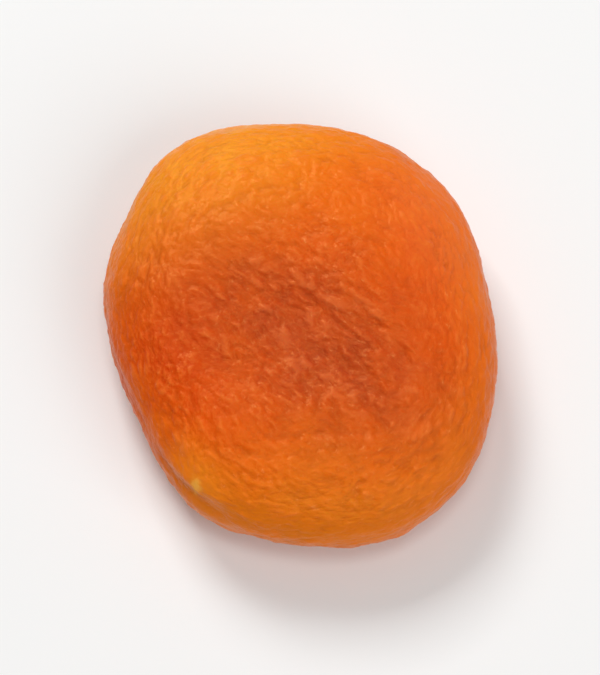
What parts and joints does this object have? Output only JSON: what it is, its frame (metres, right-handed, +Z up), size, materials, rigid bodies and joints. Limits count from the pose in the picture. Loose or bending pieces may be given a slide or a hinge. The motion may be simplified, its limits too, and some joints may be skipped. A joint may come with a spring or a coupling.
{
  "type": "dried apricot",
  "caption": "Pitted dried apricot, whole and pressed flat: a plump rounded rim, a wrinkled sunken cheek and a closed stem-end slit, lying on a small flat spot.",
  "frame": {"origin": "on the surface that the fruit lies on, under the middle of its bounding box", "axes": "+Z up through the flattened fruit, +Y along its longest extent, +X across it; the stem end faces -X and -Y"},
  "size_m": [0.042, 0.0466, 0.0145],
  "materials": {
    "apricot_skin": "satin, finely wrinkled, orange with a red-brown blush"
  },
  "bodies": {
    "root": {"dried_apricot": "apricot_skin"}
  },
  "joints": []
}
